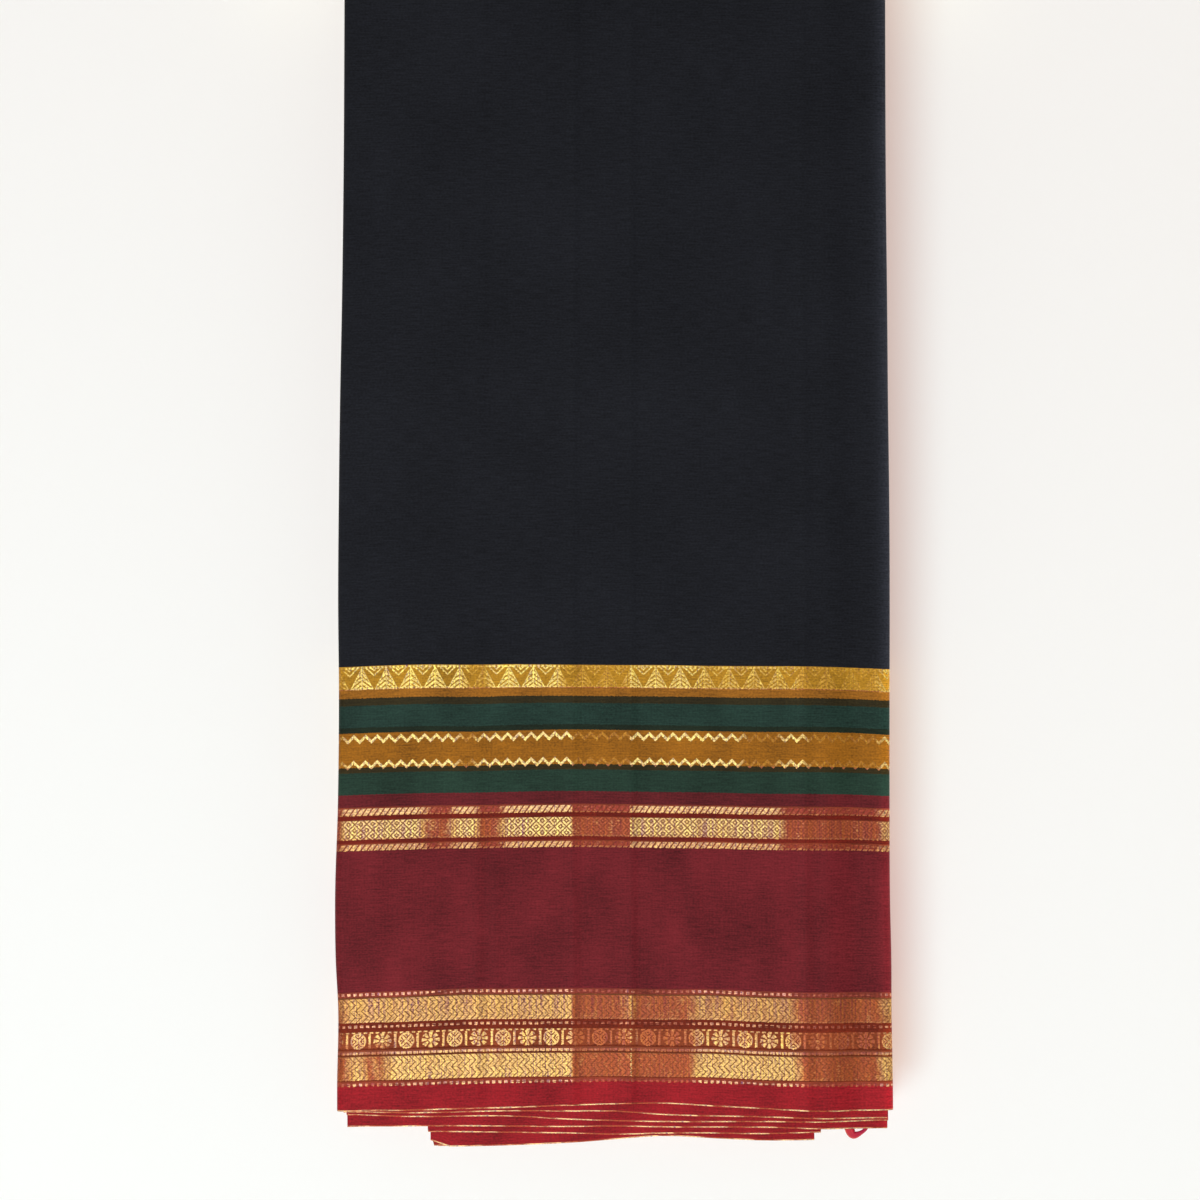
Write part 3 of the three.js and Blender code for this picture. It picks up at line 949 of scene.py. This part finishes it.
def metallic_threads(u, height, glint_contrast, patchy):
    """Where metallic thread lies on top, from 0 to 1, for every motif of the border.

    The solid metallic bands show their lines less where the painted glint is weaker.
    """
    parts = [
        height.below(0.55),
        dots(u, height, 11.4, patchy),
        chevrons(u, height, *span("lower chevrons"), glint_contrast),
        height.near(26.1, 0.6) * u.repeat(WEAVE_REPEAT, 1.2, 0.3),
        medallions(u, height, 31.8),
        height.near(35.7, 0.35) * (u + 1.0).repeat(WEAVE_REPEAT, 0.8, 0.3),
        dots(u, height, 38.7, patchy),
        chevrons(u, height, *span("upper chevrons"), glint_contrast),
        dots(u, height, 53.8, patchy),
        slanted_dashes(u, height, *span("lower dashes")),
        lattice(u, height, *span("lattice"), glint_contrast),
        slanted_dashes(u, height, *span("upper dashes")),
        zigzag(u, height, 162.8),
        zigzag(u, height, 175.0),
        triangles(u, height, 198.2, 209.0),
    ]
    total = parts[0]
    for part in parts[1:]:
        total = total.larger(part)
    return total


def glint(place, height):
    """Painted glint: how brightly the metallic thread's colour is painted at a place, from the zone tables
    of the bands.
    """
    half = 140.0
    scaled = (place + half) * (1 / (2 * half))

    def zone(name):
        stops = [(0.0, (PAINTED_GLINTS[name][0][1],) * 3)]
        for (_, before), (edge, after) in zip(PAINTED_GLINTS[name], PAINTED_GLINTS[name][1:]):
            reach = CRISP_REACH if edge in CRISP_FOLDS else SOFT_REACH
            stops.append(((edge - reach + half) / (2 * half), (before,) * 3))
            stops.append(((edge + reach + half) / (2 * half), (after,) * 3))
        return Field(place.tree, colour_ramp(scaled, stops, "LINEAR"))

    level = zone("lower chevrons")
    for name, start in PAINTED_GLINT_HEIGHTS:
        level = level.blend(zone(name), height.above(start, 1.0))
    # Painted highlight: a dotted bright line along one old fold.
    return level.larger(place.near(PAINTED_FOLD_HIGHLIGHT, 0.35) * height.repeat(1.9, 0.7))


def matt_silk(shader, yarn):
    """Soft sheen, and a roughness and faint relief that follow the yarns. Returns the roughness."""
    shader.inputs["Specular IOR Level"].default_value = 0.1
    shader.inputs["Sheen Weight"].default_value = 0.03
    shader.inputs["Sheen Roughness"].default_value = 0.4
    add_relief(shader, yarn, 0.5, 0.1)
    return yarn * 0.12 + 0.8


def grain(along, up):
    """The long streaks of the weft and the fine knots of the yarn."""
    return noise(along * 0.12, up * 1.6, detail=1.0), noise(along * 0.9 + 37.0, up * 1.25)


def painted_edge_sheen(across):
    """Strength of the painted sheen at the right-hand fold edge: 1 at the edge, fading exponentially
    inwards.
    """
    inwards = across * -1.0 + HALF_WIDTH / MM
    return (inwards * (-1 / EDGE_SHEEN_REACH)).apply("EXPONENT")


def body_material():
    """The plain black body, with a fine uneven grain of weft and warp, and a painted sheen along the
    right-hand fold edge.
    """
    settings = bpy.context.scene.saree_cloth
    material, tree, shader = new_material("saree_body")
    along, up, across = weave_place(tree)
    weft, yarn = grain(along, up)
    cloud = noise(along * 0.02 + 13.0, up * 0.02, detail=1.0)
    level = weft * 0.8 + yarn * 0.7 + cloud * 0.4 + 1.0
    # Painted highlight: the body's colour is lightened towards the right-hand fold edge.
    level = level * (painted_edge_sheen(across) * EDGE_SHEEN_BODY + 1.0)
    tree.links.new(shaded(tuple(settings.body_colour), level), shader.inputs["Base Color"])
    matt_silk(shader, yarn).feed(shader.inputs["Roughness"])
    return material


def band_colours(height, column):
    """The colour of one column of the band table at a height, and the body's colour above the table."""
    body = tuple(bpy.context.scene.saree_cloth.body_colour)
    bottoms = [0.0] + [band[1] for band in BANDS]
    colours = [srgb(*band[column]) for band in BANDS] + [body]
    stops = [(bottom / RAMP_HEIGHT, colour) for bottom, colour in zip(bottoms, colours)]
    return colour_ramp(height * (1 / RAMP_HEIGHT), stops)


def border_material():
    """The whole weave from selvedge to selvedge: the same bright border on both sides of the body.

    The height is folded, so that it counts from the nearer selvedge, and the band table is read
    along it. A glint is painted into the metallic thread's colour where its zone is bright, and painted
    copper shade elsewhere; a painted sheen lightens the right-hand fold edge.
    """
    material, tree, shader = new_material("saree_border")
    along, up, across = weave_place(tree)
    folded = up.smaller(up * -1.0 + bpy.context.scene.saree_cloth.width / MM)

    weft, yarn = grain(along, folded)
    warp = noise(along * 1.6 + 71.0, folded * 0.05)
    cloud = noise(along * 0.045 + 13.0, folded * 0.03, detail=1.0)
    gleam = noise(across * 0.28, folded * 0.11 + 5.0, detail=1.0)
    u = along + yarn * 0.35
    height = folded + yarn * 0.3 + warp * 0.3
    # bright and dull: the metallic thread's colour with a painted glint and with painted shade.
    ground, bright, dull = (band_colours(height, column) for column in (2, 3, 4))

    # Painted glint: how brightly the metallic thread's colour is painted, from the zone tables with noise,
    # and near the selvedge from noise alone. Where it is weaker, the woven lines show less.
    painted_selvedge_shine = cloud * 3.5 + weft * 2.2 + 0.4
    painted_shine = (glint(across, folded) * 1.2 - 0.12).blend(painted_selvedge_shine, folded.below(1.6))
    painted_shine = (painted_shine + gleam * 0.7 + weft * 0.5 + yarn * 0.4).bounded()
    glint_contrast = painted_shine * 0.35 + 0.5
    patchy = (cloud * 2.6 + weft * 3.2 + 0.9).bounded()
    threads = metallic_threads(u, height, glint_contrast, patchy)

    # Painted sheen: the ground and the metallic thread are lightened towards the right-hand fold edge.
    edge_sheen = painted_edge_sheen(across)
    level = weft * 0.7 + yarn * 0.55 + cloud * 0.7 + warp * 0.15 + 1.0
    woven = shaded(ground, level * (edge_sheen * EDGE_SHEEN_GROUND + 1.0))
    # Painted sparkle: yarn and warp noise lighten and darken the metallic thread, more where the painted
    # glint is strong.
    painted_sparkle = ((yarn * 1.7 + warp * 1.1) * glint_contrast + 1.0) * (edge_sheen * EDGE_SHEEN_THREAD + 1.0)
    hue = warp * 0.7
    tint = (painted_sparkle, painted_sparkle + hue * 0.4, painted_sparkle * 0.7 + 0.3 - hue)
    metal = shaded(mix_colours(tree, dull, bright, painted_shine), tint)
    tree.links.new(mix_colours(tree, woven, metal, threads), shader.inputs["Base Color"])
    (threads * 0.3).feed(shader.inputs["Metallic"])
    smoother = height.below(BANDS[-1][1]) * 0.14 + threads * 0.2
    (matt_silk(shader, yarn) - smoother).feed(shader.inputs["Roughness"])
    return material


def curl_material():
    """Crimson selvedge silk with a thin metallic edge, streaked along the loop."""
    crimson = tuple(bpy.context.scene.saree_cloth.curl_colour)
    material, tree, shader = new_material("selvedge_silk")
    along, around, _ = weave_place(tree)
    streak = noise(along * 0.3, around * 3.0, detail=2.0)
    red = shaded(crimson, streak * 0.7 + 1.0)
    red = mix_colours(tree, red, srgb(176, 22, 74), along.between(19, 60, 8.0) * 0.75)
    edge = around.between(4.6, 5.4, 0.3)
    colour = mix_colours(tree, red, srgb(214, 120, 96), edge * 0.5)
    tree.links.new(colour, shader.inputs["Base Color"])
    (streak * 0.2 + 0.6).feed(shader.inputs["Roughness"])
    shader.inputs["Specular IOR Level"].default_value = 0.3
    add_relief(shader, streak, 0.5, 0.15)
    return material


def wood_material():
    """Pale turned wood: long fibres along the rod over slow rings, satin from handling."""
    colour = tuple(bpy.context.scene.saree_rod.colour)
    material, tree, shader = new_material("pale_wood")
    place = tree.nodes.new("ShaderNodeTexCoord")
    x, y, z = in_millimetres(tree, place.outputs["Object"])
    warp = noise(x * 0.006, y * 0.03, z * 0.03) + 0.5
    rings = ((y * 0.16 + z * 0.11 + warp * 7.0) * 1.3).apply("SINE") * 0.5 + 0.5
    fibres = noise(x * 0.05, y * 1.4, z * 1.4, detail=3.0)
    pale = tuple(min(1.0, value * 1.08) for value in colour)
    dark = (colour[0] * 0.72, colour[1] * 0.64, colour[2] * 0.52)
    coarse = mix_colours(tree, pale, dark, rings * 0.45)
    fine = mix_colours(tree, coarse, dark, fibres.between(0.06, 0.3, 0.2) * 0.5)
    tree.links.new(fine, shader.inputs["Base Color"])
    (fibres * 0.25 + 0.46).feed(shader.inputs["Roughness"])
    add_relief(shader, fibres, 0.35, 0.1)
    return material


def named_material(name, maker):
    """The material of that name, made on first use."""
    return bpy.data.materials.get(name) or maker()


def finish_piece(piece, node):
    """Rides a piece on the only body and hides the frame's part that it stands for."""
    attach(piece, "root")
    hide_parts(node)
    return piece


class SAREE_OT_outer_leaf(bpy.types.Operator):
    """Build the outer leaf: its front border, body and back border, and the layers behind them"""
    bl_idname = "saree.outer_leaf"
    bl_label = "Outer leaf"

    def execute(self, context):
        width = context.scene.saree_cloth.width
        cloth = named_material("saree_border", border_material)
        plain = named_material("saree_body", body_material)
        insets = [resting_depth(1)[1] - depth for depth in layer_depths(1)]
        outer = turned_run(insets[0], 0, 0, OUTER_SPACING)
        slack = -(HALF_WIDTH - CORNER_RADIUS) - developed_side(insets[0])
        even = np.zeros(len(outer))
        strips = [("border_front", 0.0, BORDER_HEIGHT, BORDER_ROWS, cloth),
                  ("body", BORDER_HEIGHT, width - BORDER_HEIGHT, BODY_ROWS, plain),
                  ("border_back", width - BORDER_HEIGHT, width, BORDER_ROWS, cloth)]
        for name, start, end, spacing, silk in strips:
            piece, length = add_strip(name, 1, outer, start, end, spacing, even, slack, silk)
            finish_piece(piece, "leaf_1")
        spares = [(0.1, 0.5), (0.3, 0.4), (0.3, 0.2)]
        line = join_runs([turned_run(inset, left * MM, right * MM, LAYER_SPACING)
                          for inset, (left, right) in zip(insets[1:], spares)])
        short = layer_shortfall(line, LAYERS - 1, 21) + 0.2 * MM
        layers, folded = add_strip("leaf_1_layers", 1, line, 0.0, width, OUTER_LEAF_ROWS, short, length,
                                   cloth)
        finish_piece(layers, "leaf_1")
        return {"FINISHED"}


def developed_side(inset):
    """Flat length of one corner and turned side of a layer of the outer leaf."""
    return (CORNER_RADIUS - inset) * math.pi / 2 + SIDE_DEPTH - CORNER_RADIUS


class SAREE_OT_inner_leaves(bpy.types.Operator):
    """Build the five leaves inside the outer one, each a strip folded to and fro in four layers"""
    bl_idname = "saree.inner_leaves"
    bl_label = "Inner leaves"

    def execute(self, context):
        width = context.scene.saree_cloth.width
        cloth = named_material("saree_border", border_material)
        for leaf in range(2, LEAF_COUNT + 1):
            if leaf in NARROW_LEAF_ENDS:
                left, right = (MM * end for end in NARROW_LEAF_ENDS[leaf])
            else:
                inset_left, inset_right = (MM * inset for inset in WIDE_LEAF_INSETS[leaf])
                left, right = inset_left - HALF_WIDTH, HALF_WIDTH - inset_right
            spare = np.random.default_rng(leaf).uniform(*LAYER_STOPS, (LAYERS, 2)) * MM
            spare[0] = OUTER_STOP * MM
            if leaf == STEPPED_LEAF:
                spare[:, 0] = (0.4 - np.array(STEPPED_REACH)) * MM
            line = join_runs([flat_run(left + start, right - end, depth)
                              for (start, end), depth in zip(spare, layer_depths(leaf))])
            short = layer_shortfall(line, LAYERS, 30 + leaf)
            if leaf == STEPPED_LEAF:
                front = np.linspace(0, LAYERS, len(line)) < 2
                at_left = 1 - smoothstep(line[:, 0] / MM, *STEPPED_END)
                short = short + front * at_left * STEPPED_SHORT * MM
            slack = left + PATTERN_SHIFT * leaf
            name = f"leaf_{leaf}_layers"
            piece, length = add_strip(name, leaf, line, 0.0, width, INNER_LEAF_ROWS, short, slack, cloth)
            finish_piece(piece, f"leaf_{leaf}")
        return {"FINISHED"}


class SAREE_OT_loose_loop(bpy.types.Operator):
    """Build the twisted loop of selvedge that hangs out behind the fourth leaf"""
    bl_idname = "saree.loose_loop"
    bl_label = "Loose loop"

    def execute(self, context):
        silk = named_material("selvedge_silk", curl_material)
        share = np.linspace(0, len(CURL_X) - 1, CURL_STEPS)
        knots = np.arange(len(CURL_X))
        x, z, behind, half_width = (MM * read_table(share, knots, column)
                                    for column in (CURL_X, CURL_Z, CURL_BEHIND, CURL_HALF_WIDTH))
        inside = resting_depth(CURL_LEAF)[0] - side_sink(CURL_LEAF, x)
        height = front_drop(CURL_LEAF, x) + z
        face = hang(CURL_LEAF, x[None, :], inside[None, :], height[None, :])[0]
        centre = np.stack([x, face[:, 1] + behind, z], axis=1)
        points = swept_ribbon(centre, half_width)
        length = path_length(centre)
        around = np.abs(np.linspace(-CURL_GIRTH / 2, CURL_GIRTH / 2, CURL_SIDES))
        weave = np.stack(np.broadcast_arrays(length[:, None], around[None, :], 0.0), axis=-1)
        ring_share = np.linspace(0, 1, CURL_SIDES // 2)
        piece = add_shell("selvedge_loop", points, weave, length / length[-1], ring_share, silk)
        finish_piece(piece, "selvedge_curl")
        return {"FINISHED"}


def swept_ribbon(centre, half_width):
    """Rings of a flattened, gently twisting cord along a path.

    Each ring is an oval whose long way lies across the path, turned by up to a quarter of a radian
    to and fro along the loop, with a shallow groove along the middle of each flat side.
    """
    tangent = unit(np.gradient(centre, axis=0))
    across = unit(np.cross(np.array([0, 1, 0]), tangent))
    out = np.cross(tangent, across)
    twist = CURL_TWIST * np.sin(np.linspace(0, 2 * math.pi * CURL_TURNS, len(centre)))[:, None]
    wide = across * np.cos(twist) + out * np.sin(twist)
    thin = out * np.cos(twist) - across * np.sin(twist)
    angle = 2 * math.pi * (np.arange(CURL_SIDES) + 0.5) / CURL_SIDES
    groove = 1 - CURL_GROOVE["depth"] * np.exp(-((np.cos(angle) / CURL_GROOVE["half_width"]) ** 2))
    reach = half_width[:, None, None] * CURL_SLIMMER
    sideways = np.cos(angle)[None, :, None] * wide[:, None, :]
    outwards = CURL_FLATNESS * (groove * np.sin(angle))[None, :, None] * thin[:, None, :]
    return centre[:, None, :] + reach * (sideways + outwards)


class SAREE_OT_rod(bpy.types.Operator):
    """Give the wooden rod its grain"""
    bl_idname = "saree.rod"
    bl_label = "Rod"

    def execute(self, context):
        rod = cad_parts["hanging_rod"]
        wood = named_material("pale_wood", wood_material)
        rod.data.materials.clear()
        rod.data.materials.append(wood)
        return {"FINISHED"}


def stage_plane(name, near, far, material):
    """A flat stage piece between a near and a far edge, each given by its y and z."""
    corners = [(-STAGE_REACH, *near), (STAGE_REACH, *near), (STAGE_REACH, *far), (-STAGE_REACH, *far)]
    mesh = bpy.data.meshes.new(name)
    mesh.from_pydata(corners, [], [(0, 1, 2, 3)])
    mesh.materials.append(material)
    plane = bpy.data.objects.new(name, mesh)
    bpy.context.collection.objects.link(plane)
    plane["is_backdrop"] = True


def plaster_material(name, colour, glow, see_through_back):
    """Matt plaster with a faint even glow, as of a lit backdrop. The wall can't be seen from behind."""
    material, tree, shader = new_material(name)
    shader.inputs["Base Color"].default_value = (*colour, 1)
    shader.inputs["Roughness"].default_value = 0.9
    shader.inputs["Specular IOR Level"].default_value = 0.0
    shader.inputs["Emission Color"].default_value = (*glow, 1)
    shader.inputs["Emission Strength"].default_value = 1.0
    material.cycles.emission_sampling = "NONE"
    if see_through_back:
        side = tree.nodes.new("ShaderNodeNewGeometry")
        clear = tree.nodes.new("ShaderNodeBsdfTransparent")
        mix = tree.nodes.new("ShaderNodeMixShader")
        tree.links.new(side.outputs["Backfacing"], mix.inputs[0])
        tree.links.new(shader.outputs[0], mix.inputs[1])
        tree.links.new(clear.outputs[0], mix.inputs[2])
        tree.links.new(mix.outputs[0], tree.nodes["Material Output"].inputs["Surface"])
    return material


class SAREE_OT_studio(bpy.types.Operator):
    """Set up the wall, the floor, the light and the camera"""
    bl_idname = "saree.studio"
    bl_label = "Studio"

    def execute(self, context):
        studio = context.scene.saree_studio
        floor = studio.floor_height
        foot = studio.wall_depth + studio.wall_lean * floor
        head = studio.wall_depth + studio.wall_lean * WALL_TOP
        plaster = plaster_material("wall_plaster", WALL_COLOUR, WALL_GLOW, True)
        stage_plane("studio_wall", (foot, floor), (head, WALL_TOP), plaster)
        ground = plaster_material("floor_plaster", FLOOR_COLOUR, (0.0, 0.0, 0.0), False)
        stage_plane("studio_floor", (FLOOR_FRONT, floor), (-FLOOR_FRONT, floor), ground)
        self.light(context, studio)
        self.camera(context, studio)
        context.scene.view_settings.view_transform = "Standard"
        return {"FINISHED"}

    def light(self, context, studio):
        """A pale sky, a soft lamp low at the left, and a lamp for the back of the cloth alone."""
        world = bpy.data.worlds.new("studio_sky")
        world.use_nodes = True
        background = world.node_tree.nodes["Background"]
        background.inputs["Color"].default_value = (*SKY_COLOUR, 1)
        background.inputs["Strength"].default_value = studio.sky
        context.scene.world = world
        self.lamp(context, "soft_lamp", studio.lamp, **FRONT_LAMP)
        behind = self.lamp(context, "back_lamp", studio.lamp, **BACK_LAMP)
        cloth = bpy.data.collections.new("lit_from_behind")
        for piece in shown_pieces():
            cloth.objects.link(piece)
        behind.light_linking.receiver_collection = cloth
        behind.light_linking.blocker_collection = cloth

    def lamp(self, context, name, power, place, colour):
        """A soft round lamp that looks at the middle of the cloth."""
        lamp = bpy.data.lights.new(name, "AREA")
        lamp.shape = "DISK"
        lamp.size = LAMP_SIZE
        lamp.energy = power
        lamp.color = colour
        lamp_object = bpy.data.objects.new(name, lamp)
        context.collection.objects.link(lamp_object)
        lamp_object.location = place
        direction = Vector((-0.6 * place[0], 0, -0.3)) - lamp_object.location
        lamp_object.rotation_euler = direction.to_track_quat("-Z", "Y").to_euler()
        return lamp_object

    def camera(self, context, studio):
        """A long lens straight in front of the cloth."""
        camera = bpy.data.cameras.new("camera")
        camera.sensor_width = 36
        camera.lens = camera.sensor_width * studio.view_distance / studio.view_width
        camera_object = bpy.data.objects.new("camera", camera)
        context.collection.objects.link(camera_object)
        x, y, z = studio.view_centre
        camera_object.location = (x, y - studio.view_distance, z)
        camera_object.rotation_euler = (math.pi / 2, 0, 0)
        context.scene.camera = camera_object


class SAREE_PT_panel(bpy.types.Panel):
    """Lists the settings and the steps"""
    bl_idname = "SAREE_PT_panel"
    bl_label = "Saree"
    bl_space_type = "VIEW_3D"
    bl_region_type = "UI"
    bl_category = "Saree"

    def draw(self, context):
        for group in (context.scene.saree_cloth, context.scene.saree_rod, context.scene.saree_studio):
            box = self.layout.box()
            for name in group.__annotations__:
                box.prop(group, name)
        for step in STEPS:
            self.layout.operator(step.bl_idname)


STEPS = (SAREE_OT_outer_leaf, SAREE_OT_inner_leaves, SAREE_OT_loose_loop, SAREE_OT_rod, SAREE_OT_studio)
SETTINGS = {
    "saree_cloth": SareeClothSettings,
    "saree_rod": SareeRodSettings,
    "saree_studio": SareeStudioSettings,
}


def register():
    for item in (*SETTINGS.values(), *STEPS, SAREE_PT_panel):
        bpy.utils.register_class(item)
    for name, group in SETTINGS.items():
        setattr(bpy.types.Scene, name, bpy.props.PointerProperty(type=group))


def unregister():
    for name in SETTINGS:
        delattr(bpy.types.Scene, name)
    for item in (SAREE_PT_panel, *reversed(STEPS), *SETTINGS.values()):
        bpy.utils.unregister_class(item)


def main():
    register()
    bpy.ops.saree.outer_leaf()
    bpy.ops.saree.inner_leaves()
    bpy.ops.saree.loose_loop()
    bpy.ops.saree.rod()
    bpy.ops.saree.studio()


if __name__ == "__main__":
    main()
